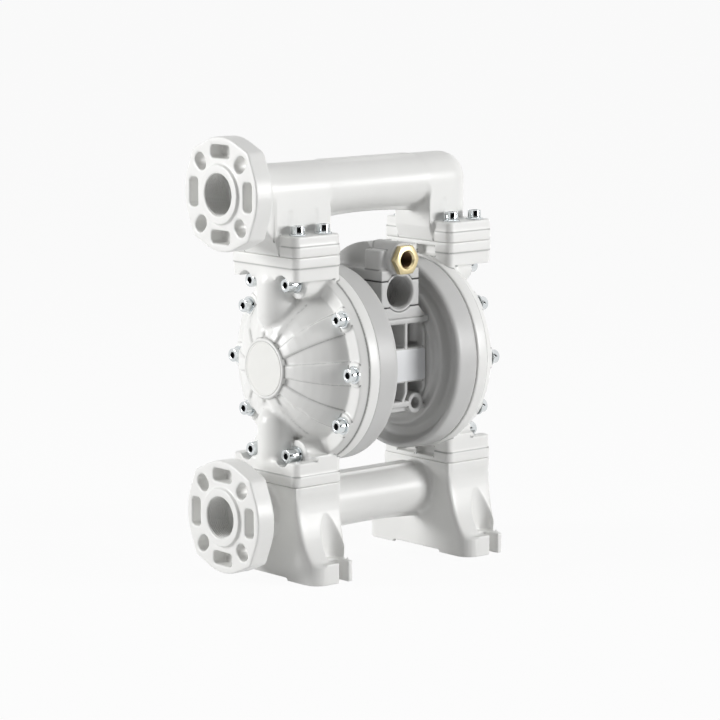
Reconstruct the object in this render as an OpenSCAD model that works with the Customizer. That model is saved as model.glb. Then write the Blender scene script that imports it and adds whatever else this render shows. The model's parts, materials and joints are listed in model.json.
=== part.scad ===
// Air operated double diaphragm pump, DN 25, moulded in polypropylene.
// +X runs along the diaphragm shaft, -Y is the air valve side and +Z is up. The origin is on the floor,
// half-way between the two chambers. Both ports face -X.

/* [Layout] */
// Height of the diaphragm shaft above the floor
axis_z = 200; // [197:0.5:204]
// Shaft axis to the joint between a cover and a manifold
joint_rise = 109; // [107:0.5:113]
// Mid-plane to the centre of a cover block and of the manifold column on it
block_x = 97.5; // [96:0.5:100]
// Shaft axis up to the centre of the discharge port
out_rise = 169; // [167:0.5:175]
// Height of the centre of the suction port above the floor
in_z = 63; // [61:0.5:65]

/* [Blocks at the joints] */
// Block size along the shaft
block_w = 57; // [55:0.5:60]
// Block size across the shaft
block_d = 95.5; // [92:0.5:100]
// Radius of the upright corners of a block
block_r = 6; // [3:0.5:6.5]
// Height of the block on a cover
cover_block_h = 23; // [21:0.5:26]
// Height of the discharge manifold's plate
plate_h = 20; // [16:0.5:24]
// Height of the band beside each joint
lip_h = 10; // [6:0.5:12]
// How far the band stands proud of the block
lip_out = 1; // [0.5:0.1:1.5]

/* [Port flanges] */
// Outside diameter of a flange
flange_od = 108; // [104:0.5:112]
// Reach of its four corners from the port axis
flange_lobe_reach = 57.5; // [56.5:0.1:59]
// Flange thickness
flange_t = 20; // [16:0.5:24]
// Mid-plane to the flange's face
flange_x = 177; // [174:0.5:190]
// Circle through the middle of the bolt slots
flange_pcd = 83; // [80:0.5:86]
// Width of a radial bolt slot
flange_slot_w = 14; // [12:0.5:15]
// Radial length of a bolt slot
flange_slot_l = 17.5; // [16:0.5:19]
// Diameter of the raised seal face
seal_face_d = 56; // [50:0.5:60]
// Height of the raised seal face
seal_face_h = 3; // [1:0.1:3]
// Diameter of the port at the crest of its 1 1/4 inch pipe thread
port_d = 38.95; // [37:0.05:40]
// Length of that thread
port_thread_l = 24; // [18:0.5:28]

/* [Pipes and columns] */
// Outside diameter of the manifold pipe
pipe_od = 51; // [48:0.5:54]
// Bore of the manifolds
flow_d = 28; // [24:0.5:30]
// Column size along the shaft
column_w = 69; // [64:0.5:72]
// Column size across the shaft
column_d = 51.4; // [51.2:0.2:56]

/* [Feet] */
// Reach of a toe from the mid-plane across the shaft
toe_reach = 76; // [72:0.5:80]
// Thickness of a toe
toe_h = 20; // [14:0.5:24]
// Distance of the bolt slot from the block's centre, along the shaft
foot_slot_off = 6.9; // [5:0.1:8]
// Width of the bolt slot
foot_slot_w = 10.8; // [9:0.1:12]
// Distance between the front and the back bolt slot
foot_slot_pitch = 124; // [118:0.5:128]
// Radius of the upright scoop behind the bolt slot
scoop_r = 12.5; // [11:0.5:14]

/* [Chambers] */
// Outside diameter of the cover's rim
rim_d = 193; // [190:0.5:196]
// Mid-plane to the inner edge of an air chamber
chamber_x = 37.5; // [36:0.5:40]
// Mid-plane to the joint between air chamber and cover
seam_x = 62.9; // [62:0.1:64]
// Mid-plane to the step on the cover's rim
step_x = 74.8; // [73.5:0.1:77]
// Mid-plane to the bolting face of the cover
face_x = 84; // [83:0.5:86]
// Mid-plane to the top of the hub ring
hub_x = 126.5; // [124:0.5:128]
// Outside diameter of the hub ring
hub_d = 58; // [54:0.5:62]
// Mid-plane to the seats of the four screws beside the necks
boss_x = 106.5; // [104:0.5:108]
// Rib height over the panels between them
rib_h = 2.5; // [1:0.1:4]
// Outside diameter of a flow neck
neck_d = 36; // [34:0.5:38]
// Mid-plane to the middle of a flow neck
neck_x = 110.5; // [109:0.5:111]
// Diameter of the blank badge in the hub
badge_d = 52; // [46:0.5:53]

/* [Diaphragms and shaft] */
// Diaphragm thickness
diaphragm_t = 4; // [3:0.1:5]
// Diameter of the outer, wetted plate
outer_plate_d = 90; // [80:0.5:94]
// Diameter of the inner plate
inner_plate_d = 84; // [76:0.5:90]
// Diameter of the shaft
shaft_d = 20; // [16:0.5:22]
// Half of the shaft's stroke
half_stroke = 9; // [5:0.5:9]

/* [Check valves] */
// Diameter of a valve ball
ball_d = 25.4; // [24:0.1:26]
// Bore of a valve seat
seat_bore_d = 16; // [14:0.5:17]
// Height of a valve seat
seat_h = 6; // [5:0.5:7]
// Lift of a ball
ball_lift = 5; // [3:0.5:5]

/* [Air valve] */
// Mid-plane to the side of the valve block
valve_w = 48; // [46:0.5:52]
// Front face of the valve block, measured from the shaft's plane
valve_front = 53.6; // [52:0.2:56]
// Back face of the valve block
valve_back = 34; // [32:0.5:38]
// Shaft axis to the bottom of the flared base
base_rise = 42; // [41:0.5:43]
// Height of the flared base
base_h = 11; // [9:0.5:13]
// Height of the exhaust block
exhaust_h = 24.8; // [24:0.2:27]
// Diameter of the exhaust port
exhaust_d = 30.3; // [28:0.1:31]
// Diameter of the air inlet at the crest of its 3/8 inch pipe thread
air_d = 14.95; // [14:0.05:16]
// Diameter of the air inlet boss
boss_d = 33.4; // [32:0.2:33.6]
// Spool diameter
spool_d = 16; // [14:0.5:17]
// Spool travel
spool_travel = 8; // [5:0.5:9]

/* [Screws] */
// Thread diameter of the cover and manifold screws
screw_d = 8; // [7:0.5:8]
// Diameter of their heads
head_d = 13; // [12:0.5:13.5]
// Height of their heads
head_h = 7.5; // [7:0.5:8.5]
// Height of the heads beside the necks
tall_head_h = 13; // [10:0.5:14]
// Diameter of their washers
washer_d = 17; // [15:0.5:17]
// Thickness of their washers
washer_t = 1.6; // [1.2:0.1:2]
// Manifold screws, from the block's centre along the shaft
joint_screw_x = 15.3; // [14:0.1:16]
// Manifold screws, from the block's centre across the shaft
joint_screw_y = 36.2; // [35:0.1:37]

/* [Hidden] */
$fn = 64;

PP = "#eeeeee";
PP_GREY = "#dadada";
ZINC = "#c9ccd0";
BRASS = "#c9b37a";
RUBBER = "#3a3a3c";
PTFE = "#f7f7f4";
STEEL = "#b9bbbe";

// free_gap lies between pieces that move apart, fit_gap in a running fit and seat_gap round what is
// laid in; over is how far a cut runs past the solid
free_gap = 0.3;
fit_gap = 0.05;
seat_gap = 0.1;
over = 1;

top_joint_z = axis_z + joint_rise;
low_joint_z = axis_z - joint_rise;
out_z = axis_z + out_rise;
plate_top_z = top_joint_z + plate_h;
rim_r = rim_d / 2;
pipe_r = pipe_od / 2;
flow_r = flow_d / 2;
port_r = port_d / 2;
hub_r = hub_d / 2;
neck_r = neck_d / 2;
ball_r = ball_d / 2;
shaft_r = shaft_d / 2;
screw_r = screw_d / 2;

column_r = column_d / 2;

// Flange: mouth bevel, corners and the blind pockets between the bolt slots
port_mouth_r = 20.5;
port_bevel = 1.5;
corner_r = 8;
pocket_at = 40;
pocket_w = 12.5;
pocket_l = 28;
pocket_r = 4;
pocket_depth = 15;

// Manifold pipe: waist, flat pad on top and rib below
pipe_waist = 1.1;
pipe_steps = 10;
pad_w = 15;
pad_out = 0.6;
pad_half_l = 58;
rib_w = 8;
rib_end_out = 5.5;
rib_mid_out = 2;
flute_r = 11;
flute_l = 20;
column_flare = 14;
gusset_half_w = 24;
gusset_rise = 34;
gusset_sag = 3;
gusset_steps = 6;
column_end_in = 1.2;

// Foot
toe_end = 19;
toe_plan_r = 15;
toe_small_r = 3;
toe_taper_y = 64;
flare_top_z = 80;
flare_out = 22;
flare_steps = 8;
sole_relief = 2.5;
sole_pad = 42;
access_r = 9;
low_plate_h = 20;

// Cover: its screws keep their distance from the rim, and the diaphragm and the panels theirs from them
screw_edge = 10.6;
insert_r = 5;
insert_l = 12;
bead_edge = 0.9;
panel_edge = 1;
cover_bolt_r = rim_r - screw_edge;
bead_r = cover_bolt_r - insert_r - bead_edge;
panel_r = bead_r - panel_edge;
seam_bevel = 0.5;
step_in = 1.2;
step_slope = 0.5;
edge_in = 4.2;
screw_pad_r = 11.5;
screw_pad_h = 2;
dome_sag = 7;
cavity_sag = 6;
dome_steps = 7;
hub_ring_h = 2.5;
badge_t = 1.2;
cover_screws = 10;
rib_root_w = 23;
rib_tip_w = 10.6;
neck_end = 54;
neck_fade = 5;
neck_bore_end = 44;
neck_bore_in = 3;
neck_bore_r = 12.5;
shoulder_r = 14.3;
web_half_h = 10.5;
slab_w = 36;
slab_h = 28;
ledge_w = 14;
ledge_h = 26;
head_scoop_r = 9.5;
land_w = 8.5;
cavity_rim_x = seam_x + diaphragm_t / 2 + half_stroke + seat_gap;
cavity_hub_r = 26;
cavity_hub_x = 118;
recess_low = 4.5;
recess_h = 10;
recess_half_d = 27;
recess_deep = 9;
recess_rib = 3;
thread_deep = 18;
hole_gap = 0.25;

// Air chamber
chamber_r = rim_r - 1.2;
hub_face_x = chamber_x - 4;
hub_face_r = 62;
ring_r = 71;
groove_low_r = 75;
groove_high_r = 84;
groove_deep = 11;
round_r = 4.5;
shaft_hole_r = 17;
bowl_r = 54;
bowl_wall = 6.5;
bowl_rim_t = 5;
chamber_screws = 6;
chamber_screw_at = 36;
chamber_screw_r = 3;
chamber_head_r = 5;
chamber_head_h = 3.5;
chamber_screw_l = 8;

// Centre body
end_disc_r = 60;
end_disc_t = 4;
screw_boss_r = 7;
screw_boss_l = 10;
frame_hub_r = 26;
frame_drop = 50;
frame_wall = 5;
deck_t = 6;
panel_drop = 21;
panel_rise = 12.5;
panel_deep = 20;
web_x = 8;
web_w = 4;
web_bend = 5;
lug_x = 20.4;
lug_drop = 42;
lug_r = 10;
lug_hole_r = 5.5;
lug_l = 20;
arm_h = 6;
post_x = 28.5;
post_y = 40;
post_r = 4.6;
post_l = 20;
label_t = 0.6;
label_margin = 1.6;

// Diaphragm group
land_r = bead_r - land_w;
inner_plate_t = 6.5;
inner_hub_r = 20;
inner_rim_t = 4;
outer_plate_t = 7;
outer_rim_t = 3;
plate_screw_r = 6;
plate_head_r = 11;
plate_head_h = 7;
plate_screw_in = 22;
flex_wave = 5;
flex_in_r = 47;
flex_steps = 10;
diaphragm_hole_r = 7;
bush_t = 3;
bush_l = 14;
seal_r = 1.4;
pilot_x = 6;
pilot_w = 6;
pilot_deep = 1;
shaft_bevel = 1;

// Check valves
seat_r = 20;
seat_bevel_r = 11.5;
ring_notch = 2;
ring_wire_r = 0.95;
cage_r = 16.5;
cage_wall = 1.6;
cage_rib_w = 2.4;
cage_rib_gap = 0.4;
cage_top = 3;
cage_window_r = 4.8;
cage_window_at = 9;
// A ball on a seat bevelled at 45 degrees touches it this far from its axis
touch_r = ball_r * sin(45);
seat_land = seat_h - (seat_bevel_r - seat_bore_d / 2);
ball_z = seat_land + touch_r - seat_bore_d / 2 + touch_r + free_gap / sin(45) - seat_h;
cage_stop = ball_z + ball_r + ball_lift + free_gap;
cage_h = cage_stop + cage_top;

// Air valve
base_z = axis_z + base_rise;
base_top_z = base_z + base_h;
gasket_t = 0.8;
block_z = base_top_z + gasket_t;
block_top_z = block_z + exhaust_h;
cap_z = block_top_z + gasket_t;
base_flare = 9;
ring_rise = 1.4;
port_ring_r = 19;
port_ring_l = 30;
spool_z = block_z + exhaust_h / 2;
port_z = spool_z + ring_rise;
exhaust_mouth_r = 17;
exhaust_bevel = 3;
exhaust_deep = 28;
sleeve_r = 11;
plug_t = 4;
spool_bore_r = spool_d / 2 + fit_gap;
sleeve_half = valve_w / 2 - plug_t;
spool_l = 2 * sleeve_half - spool_travel - 2 * free_gap;
spool_groove_w = 5;
spool_groove_deep = 2;
sleeve_port_r = 2.5;
cap_h = 10.5;
boss_rise = 99.6;
boss_z = axis_z + boss_rise;
boss_front = 58;
saddle_front = 22;
saddle_half_w = 16;
saddle_sag = 6;
saddle_steps = 8;
ear_in = 9;
ear_out = 23.5;
ear_front = 50.5;
ear_back = 27;
ear_r = 4;
ear_h = 19;
fitting_af = 27;
fitting_hex_t = 6;
fitting_thread_r = 11;
fitting_thread_l = 20;
fitting_mouth_r = 8.8;
fitting_bevel = 2;
air_way_r = 5;
air_drop_y = 6;
air_drop_r = 4.5;
valve_screw_r = 3;
valve_screw_l = 50;
valve_screw_x = 18.5;
valve_screw_front = 18;
valve_screw_back = 24;
valve_head_r = 5;
valve_head_h = 6;

// Screw heads: key size and depth, and edge bevel, as shares of the head's diameter and height
key_share = 0.46;
key_deep_share = 0.5;
head_bevel_share = 0.05;

// Points on a shallow curve from a to b that bulges by sag to the right of its way
function bow(a, b, sag, steps) = [
    for (i = [0 : steps])
        let (t = i / steps, d = b - a, n = [d[1], -d[0]] / norm(d))
        a + d * t + n * sag * 4 * t * (1 - t)];

// Points of an arc round c
function arc(c, r, from, to, steps) = [
    for (i = [0 : steps])
        let (a = from + (to - from) * i / steps)
        c + r * [cos(a), sin(a)]];

function mirrored_y(points) = [for (i = [len(points) - 1 : -1 : 0]) [-points[i][0], points[i][1]]];

// A profile of [radius, distance from the mid-plane], turned round the shaft axis
module turned() {
    translate([0, 0, axis_z]) rotate([0, 90, 0]) rotate_extrude($fn = 128) children();
}

module on_side(side) {
    mirror([side < 0 ? 1 : 0, 0, 0]) children();
}

module both_sides() {
    for (side = [-1, 1]) on_side(side) children();
}

// The child at the upper and, turned over, at the lower end of a cover
module both_ends() {
    children();
    translate([0, 0, 2 * axis_z]) mirror([0, 0, 1]) children();
}

module rounded(w, d, r) {
    square([w - 2 * r, d], center = true);
    square([w, d - 2 * r], center = true);
    for (x = [-1, 1], y = [-1, 1]) translate([x * (w / 2 - r), y * (d / 2 - r)]) circle(r);
}

module upright_block(w, d, r, z0, z1) {
    translate([0, 0, z0]) linear_extrude(z1 - z0) rounded(w, d, r);
}

module box(low, high) {
    translate(low) cube(high - low);
}

module rod_x(r, x0, x1, y, z) {
    translate([x0, y, z]) rotate([0, 90, 0]) cylinder(r = r, h = x1 - x0);
}

module rod_y(r, y0, y1, x, z) {
    translate([x, y1, z]) rotate([90, 0, 0]) cylinder(r = r, h = y1 - y0);
}

module rod_z(r, z0, z1, x, y) {
    translate([x, y, z0]) cylinder(r = r, h = z1 - z0);
}

// An outline in X and Z, drawn out along Y
module along_y(y0, y1) {
    translate([0, y1, 0]) rotate([90, 0, 0]) linear_extrude(y1 - y0) children();
}

// A socket head screw that bears on z = 0
module cap_screw(shank_r, hd, hh, l) {
    bevel = hd * head_bevel_share;
    difference() {
        union() {
            rotate_extrude() polygon([[0, 0], [hd / 2, 0], [hd / 2, hh - bevel],
                [hd / 2 - bevel, hh], [0, hh]]);
            translate([0, 0, -l]) cylinder(r = shank_r, h = l + bevel);
        }
        translate([0, 0, hh * (1 - key_deep_share)])
            cylinder(d = hd * key_share * 2 / sqrt(3), h = hh, $fn = 6);
    }
}

module washer(outer_d) {
    rotate_extrude() polygon([[screw_r + hole_gap, 0], [outer_d / 2, 0],
        [outer_d / 2, washer_t], [screw_r + hole_gap, washer_t]]);
}

// Places of the cover screws; the four beside the necks sit on tall bosses
function is_tall(i) = abs(cos(i * 360 / cover_screws)) < 0.5 && abs(sin(i * 360 / cover_screws)) < 1;
function screw_seat_x(i) = is_tall(i) ? boss_x : face_x + screw_pad_h;
function screw_y(i) = -cover_bolt_r * cos(i * 360 / cover_screws);
function screw_z(i) = axis_z + cover_bolt_r * sin(i * 360 / cover_screws);

module at_cover_screws(lift) {
    for (i = [0 : cover_screws - 1])
        translate([screw_seat_x(i) + lift, screw_y(i), screw_z(i)]) rotate([0, 90, 0]) children();
}

module at_tall_bosses() {
    for (i = [0 : cover_screws - 1]) if (is_tall(i)) translate([0, screw_y(i), screw_z(i)])
        rotate([0, 90, 0]) children();
}

module at_joint_screws(z) {
    for (side = [-1, 1], x = [-1, 1], y = [-1, 1])
        translate([side * block_x + x * joint_screw_x, y * joint_screw_y, z]) children();
}

// Flange: outline with four lobes, radial bolt slots, blind pockets and a threaded port
module slot_shape() {
    run = flange_slot_l - flange_slot_w;
    for (end = [-1, 1]) translate([end * run / 2, 0]) circle(d = flange_slot_w);
    square([run, flange_slot_w], center = true);
}

// A disc drawn out to four rounded corners by straight edges that touch both
module flange_outline() {
    disc_r = flange_od / 2;
    corner_at = flange_lobe_reach - corner_r;
    turn = acos((disc_r - corner_r) / corner_at);
    circle(disc_r, $fn = 128);
    for (i = [0 : 3]) rotate(45 + i * 90) {
        translate([corner_at, 0]) circle(corner_r);
        polygon([[disc_r * cos(turn), -disc_r * sin(turn)],
            [corner_at + corner_r * cos(turn), -corner_r * sin(turn)],
            [corner_at + corner_r * cos(turn), corner_r * sin(turn)],
            [disc_r * cos(turn), disc_r * sin(turn)], [0, 0]]);
    }
}

module flange(z) {
    translate([-flange_x, 0, z]) rotate([0, 90, 0]) difference() {
        union() {
            linear_extrude(flange_t) difference() {
                flange_outline();
                for (i = [0 : 3]) rotate(45 + i * 90) translate([flange_pcd / 2, 0]) slot_shape();
            }
            translate([0, 0, -seal_face_h]) cylinder(d = seal_face_d, h = seal_face_h + over);
        }
        for (i = [0 : 3]) rotate(i * 90) translate([pocket_at, 0, -over])
            linear_extrude(pocket_depth + over) rounded(pocket_w, pocket_l, pocket_r);
    }
}

// What a port takes out: the bevelled mouth and the threaded length
module port_cut(z) {
    face = -flange_x - seal_face_h;
    translate([face, 0, z]) rotate([0, 90, 0]) rotate_extrude() polygon([[0, -over],
        [port_mouth_r, -over], [port_mouth_r, 0], [port_r, port_bevel],
        [port_r, port_thread_l + port_bevel], [0, port_thread_l + port_bevel]]);
}

// The pipe between the columns: waisted, with a flat pad on top and an arched rib below
module waisted_pipe(x0, x1, z) {
    outline = bow([pipe_r, x0], [pipe_r, x1], -pipe_waist, pipe_steps);
    translate([0, 0, z]) rotate([0, 90, 0]) rotate_extrude()
        polygon(concat([[0, x0]], outline, [[0, x1]]));
    box([-pad_half_l, -pad_w / 2, z], [pad_half_l, pad_w / 2, z + pipe_r + pad_out]);
    edge = z - pipe_r;
    along_y(-rib_w / 2, rib_w / 2) polygon(concat([[x1, z], [x0, z]],
        bow([x0, edge - rib_end_out], [x1, edge - rib_end_out], -(rib_end_out - rib_mid_out), pipe_steps)));
}

module joint_band(z0, z1) {
    upright_block(block_w + 2 * lip_out, block_d + 2 * lip_out, block_r + lip_out, z0, z1);
}

// A column's straight part, narrowed to its plate at the joint
module column(mid_x, left, right) {
    foot_left = max(left, -block_w / 2 - lip_out);
    foot_right = min(right, block_w / 2 + lip_out);
    translate([mid_x, 0, 0]) along_y(-column_r, column_r) polygon([[foot_left, top_joint_z],
        [left, top_joint_z + column_flare], [left, out_z], [right, out_z],
        [right, top_joint_z + column_flare], [foot_right, top_joint_z]]);
}

module upper_manifold() {
    col_x = column_w / 2;
    end_x = block_x - column_end_in;
    color(PP) difference() {
        union() {
            both_sides() translate([block_x, 0, 0]) {
                upright_block(block_w, block_d, block_r, top_joint_z, plate_top_z);
                joint_band(top_joint_z, top_joint_z + lip_h);
            }
            column(-block_x, -col_x, col_x);
            rod_x(column_r, -block_x - col_x, -block_x + col_x, 0, out_z);
            column(block_x, -col_x, -column_end_in);
            rod_x(column_r, block_x - col_x, end_x, 0, out_z);
            rod_z(column_r, top_joint_z, out_z, end_x, 0);
            translate([end_x, 0, out_z]) rotate([0, -45, 0]) sphere(column_r);
            waisted_pipe(-block_x + col_x - over, block_x - col_x + over, out_z);
            rod_x(column_r, -flange_x + flange_t - over, -block_x, 0, out_z);
            along_y(-gusset_half_w, gusset_half_w) polygon(concat([[-block_x - col_x + over, out_z],
                [-block_x - col_x + over, top_joint_z + column_flare]],
                bow([-block_x - col_x, top_joint_z + column_flare],
                    [-flange_x + flange_t, top_joint_z + gusset_rise], gusset_sag, gusset_steps),
                [[-flange_x + flange_t, out_z]]));
            flange(out_z);
        }
        rod_x(flow_r, -flange_x - over, block_x, 0, out_z);
        port_cut(out_z);
        both_sides() {
            rod_z(flow_r, top_joint_z - over, out_z, block_x, 0);
            rod_z(cage_r + seat_gap, top_joint_z - over, top_joint_z + cage_h, block_x, 0);
        }
        at_joint_screws(top_joint_z - over) cylinder(r = screw_r + hole_gap, h = plate_h + 2 * over);
        at_joint_screws(plate_top_z) {
            cylinder(r = flute_r, h = flute_l);
            translate([0, 0, flute_l]) sphere(flute_r);
        }
    }
}

// Plan and side outline of a foot; both toes carry an open bolt slot
module foot_plan() {
    half = block_w / 2;
    front = concat([[half, block_d / 2 - block_r], [toe_end, toe_taper_y]],
        arc([toe_end - toe_small_r, toe_reach - toe_small_r], toe_small_r, 0, 90, 3),
        arc([toe_plan_r - half, toe_reach - toe_plan_r], toe_plan_r, 90, 180, 6));
    polygon(concat(front, [for (i = [len(front) - 1 : -1 : 0]) [front[i][0], -front[i][1]]]));
}

module foot_side() {
    flare = [for (i = [0 : flare_steps])
        let (z = toe_h + (flare_top_z - toe_h) * i / flare_steps)
        [block_d / 2 + flare_out * pow((flare_top_z - z) / (flare_top_z - toe_h), 2), z]];
    half = concat([[toe_reach, 0], [toe_reach, toe_h]], flare, [[block_d / 2, low_joint_z]]);
    polygon(concat(half, mirrored_y(half)));
}

module foot() {
    difference() {
        intersection() {
            linear_extrude(low_joint_z) foot_plan();
            translate([-block_w, 0, 0]) rotate([90, 0, 90]) linear_extrude(2 * block_w) foot_side();
        }
        for (y = [-1, 1]) {
            rod_z(scoop_r, toe_h, low_joint_z, foot_slot_off, y * foot_slot_pitch / 2);
            rod_z(foot_slot_w / 2, -over, toe_h + over, foot_slot_off, y * foot_slot_pitch / 2);
            translate([foot_slot_off, y * (foot_slot_pitch + toe_reach) / 2, toe_h / 2])
                cube([foot_slot_w, toe_reach, toe_h + 2 * over], center = true);
        }
        box([-block_w, sole_pad - toe_reach, -over], [block_w, toe_reach - sole_pad, sole_relief]);
    }
}

module lower_manifold() {
    color(PP) difference() {
        union() {
            for (side = [-1, 1]) translate([side * block_x, 0, 0]) {
                foot();
                upright_block(block_w, block_d, block_r, flare_top_z, low_joint_z);
                joint_band(low_joint_z - lip_h, low_joint_z);
            }
            waisted_pipe(-block_x + block_w / 2 - over, block_x - block_w / 2 + over, in_z);
            rod_x(column_r, -flange_x + flange_t - over, -block_x, 0, in_z);
            flange(in_z);
        }
        rod_x(flow_r, -flange_x - over, block_x, 0, in_z);
        port_cut(in_z);
        both_sides() {
            rod_z(flow_r, in_z, low_joint_z, block_x, 0);
            rod_z(seat_r + seat_gap, low_joint_z - seat_h, low_joint_z + over, block_x, 0);
        }
        at_joint_screws(-over) cylinder(r = screw_r + hole_gap, h = low_joint_z + 2 * over);
        at_joint_screws(-over) cylinder(r = access_r, h = low_joint_z - low_plate_h + over);
    }
}

// Cover: rim, domed face with a rib to each screw, hub ring, flow necks and end blocks
dome_top = hub_x - hub_ring_h;

module dome_profile(drop) {
    polygon(concat([[0, seam_x], [panel_r, seam_x], [panel_r, face_x - drop]],
        bow([panel_r, face_x - drop], [hub_r, dome_top - drop], dome_sag, dome_steps),
        [[0, dome_top - drop]]));
}

module rim_profile() {
    polygon([[panel_r - over, seam_x], [rim_r - seam_bevel, seam_x], [rim_r, seam_x + seam_bevel],
        [rim_r, step_x], [rim_r - step_in, step_x + step_slope], [rim_r - edge_in, face_x],
        [panel_r, face_x], [panel_r, face_x - rib_h], [panel_r - over, face_x - rib_h]]);
}

module cover_ribs() {
    intersection() {
        turned() dome_profile(0);
        for (i = [0 : cover_screws - 1])
            translate([seam_x, 0, axis_z]) rotate([i * 360 / cover_screws, 0, 0])
            rotate([0, 90, 0]) linear_extrude(hub_x - seam_x) polygon([[-rib_tip_w / 2, -hub_r + over],
                [rib_tip_w / 2, -hub_r + over], [rib_root_w / 2, -panel_r], [-rib_root_w / 2, -panel_r]]);
    }
}

// Round pads under the screws of the rim, cut off where the rim ends
module screw_pads() {
    intersection() {
        for (i = [0 : cover_screws - 1]) if (!is_tall(i))
            rod_x(screw_pad_r, face_x - over, face_x + screw_pad_h, screw_y(i), screw_z(i));
        rod_x(rim_r - edge_in, seam_x, hub_x, 0, axis_z);
    }
}

module cover_shell() {
    turned() dome_profile(rib_h);
    turned() rim_profile();
    cover_ribs();
    screw_pads();
    turned() polygon([[0, seam_x], [hub_r, seam_x], [hub_r, hub_x], [0, hub_x]]);
    at_tall_bosses()
        translate([0, 0, step_x + step_slope]) cylinder(r = shoulder_r, h = boss_x - step_x - step_slope);
    both_ends() {
        rod_z(neck_r, axis_z + neck_end, top_joint_z - cover_block_h - neck_fade, neck_x, 0);
        for (z = [axis_z + neck_end, top_joint_z - cover_block_h - neck_fade])
            translate([neck_x, 0, z]) sphere(neck_r);
        translate([block_x, 0, 0]) {
            upright_block(block_w, block_d, block_r, top_joint_z - cover_block_h, top_joint_z);
            joint_band(top_joint_z - lip_h, top_joint_z);
        }
        neck_web();
    }
    slab(slab_w, low_joint_z, low_joint_z + slab_h);
    slab(ledge_w, top_joint_z - ledge_h, top_joint_z);
}

// The part of an end block on the mid-plane's side that stands out further than the rest
module slab(w, z0, z1) {
    translate([block_x - (block_w - w) / 2, 0, 0]) upright_block(w, block_d, block_r, z0, z1);
}

// The web that joins the two tall bosses behind the neck
module neck_web() {
    half = abs(screw_y(2));
    mid = screw_z(2);
    box([step_x, -half, mid - web_half_h], [boss_x - screw_pad_h, half, mid + web_half_h]);
}

module cover_cavity() {
    turned() polygon(concat([[0, seam_x - over], [bead_r + seat_gap, seam_x - over],
        [bead_r + seat_gap, seam_x + diaphragm_t / 2], [land_r, seam_x + diaphragm_t / 2]],
        bow([land_r, cavity_rim_x], [cavity_hub_r, cavity_hub_x], cavity_sag, dome_steps),
        [[0, cavity_hub_x]]));
}

module cover() {
    difference() {
        cover_shell();
        cover_cavity();
        turned() polygon([[0, hub_x - badge_t], [badge_d / 2 + seat_gap, hub_x - badge_t],
            [badge_d / 2 + seat_gap, hub_x + over], [0, hub_x + over]]);
        both_ends() {
            rod_z(neck_bore_r, axis_z + neck_bore_end, top_joint_z - lip_h, neck_x - neck_bore_in, 0);
            cover_recess();
        }
        at_cover_screws(-boss_x) cylinder(r = screw_r + hole_gap, h = 2 * boss_x);
        at_cover_screws(0) cylinder(r = head_scoop_r, h = block_w);
        rod_z(neck_bore_r, axis_z + joint_rise - cover_block_h, top_joint_z, block_x, 0);
        rod_z(seat_r + seat_gap, top_joint_z - seat_h, top_joint_z + over, block_x, 0);
        rod_z(cage_r + seat_gap, low_joint_z - over, low_joint_z + cage_h, block_x, 0);
        for (x = [-1, 1], y = [-1, 1]) translate([block_x + x * joint_screw_x, y * joint_screw_y, 0]) {
            translate([0, 0, top_joint_z - thread_deep])
                cylinder(r = screw_r + fit_gap, h = thread_deep + over);
            translate([0, 0, low_joint_z - over]) cylinder(r = screw_r + fit_gap, h = thread_deep + over);
        }
    }
}

// Moulded recess in the inner face of an end block, with a rib across its middle
module cover_recess() {
    inner = block_x - block_w / 2 - lip_out;
    top = top_joint_z - recess_low;
    for (side = [-1, 1]) {
        near = side * recess_rib / 2;
        far = side * recess_half_d;
        box([inner - over, min(near, far), top - recess_h], [inner + recess_deep, max(near, far), top]);
    }
}

module left_cover() {
    color(PP) on_side(-1) cover();
}

module right_cover() {
    color(PP) cover();
}

// Air chamber: bowl between the diaphragm and the centre body, with a moulded groove behind its rim
module air_chamber() {
    difference() {
        turned() polygon(concat([[shaft_hole_r, hub_face_x], [hub_face_r, hub_face_x],
            [hub_face_r, chamber_x], [ring_r, chamber_x], [groove_low_r, chamber_x + groove_deep],
            [groove_high_r, chamber_x + groove_deep]],
            arc([chamber_r - round_r, chamber_x + round_r], round_r, -90, 0, 5),
            [[chamber_r, seam_x - seam_bevel], [chamber_r - seam_bevel, seam_x],
            [bead_r + seat_gap, seam_x], [bead_r + seat_gap, seam_x - diaphragm_t / 2],
            [land_r, seam_x - diaphragm_t / 2], [land_r, seam_x - bowl_rim_t],
            [bowl_r, hub_face_x + bowl_wall], [shaft_hole_r, hub_face_x + bowl_wall]]));
        for (i = [0 : cover_screws - 1])
            rod_x(insert_r + fit_gap, seam_x - insert_l, seam_x + over, screw_y(i), screw_z(i));
        at_chamber_screws() {
            cylinder(r = chamber_screw_r + hole_gap, h = 4 * bowl_wall, center = true);
            cylinder(r = chamber_head_r + seat_gap, h = 2 * bowl_wall);
        }
    }
}

// Underside of the heads of the screws that hold a chamber on the centre body
module at_chamber_screws() {
    for (i = [0 : chamber_screws - 1])
        translate([hub_face_x + bowl_wall - chamber_head_h,
            chamber_screw_at * cos(i * 360 / chamber_screws),
            axis_z + chamber_screw_at * sin(i * 360 / chamber_screws)])
        rotate([0, 90, 0]) children();
}

module left_air_chamber() {
    color(PP_GREY) on_side(-1) air_chamber();
}

module right_air_chamber() {
    color(PP_GREY) air_chamber();
}

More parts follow.
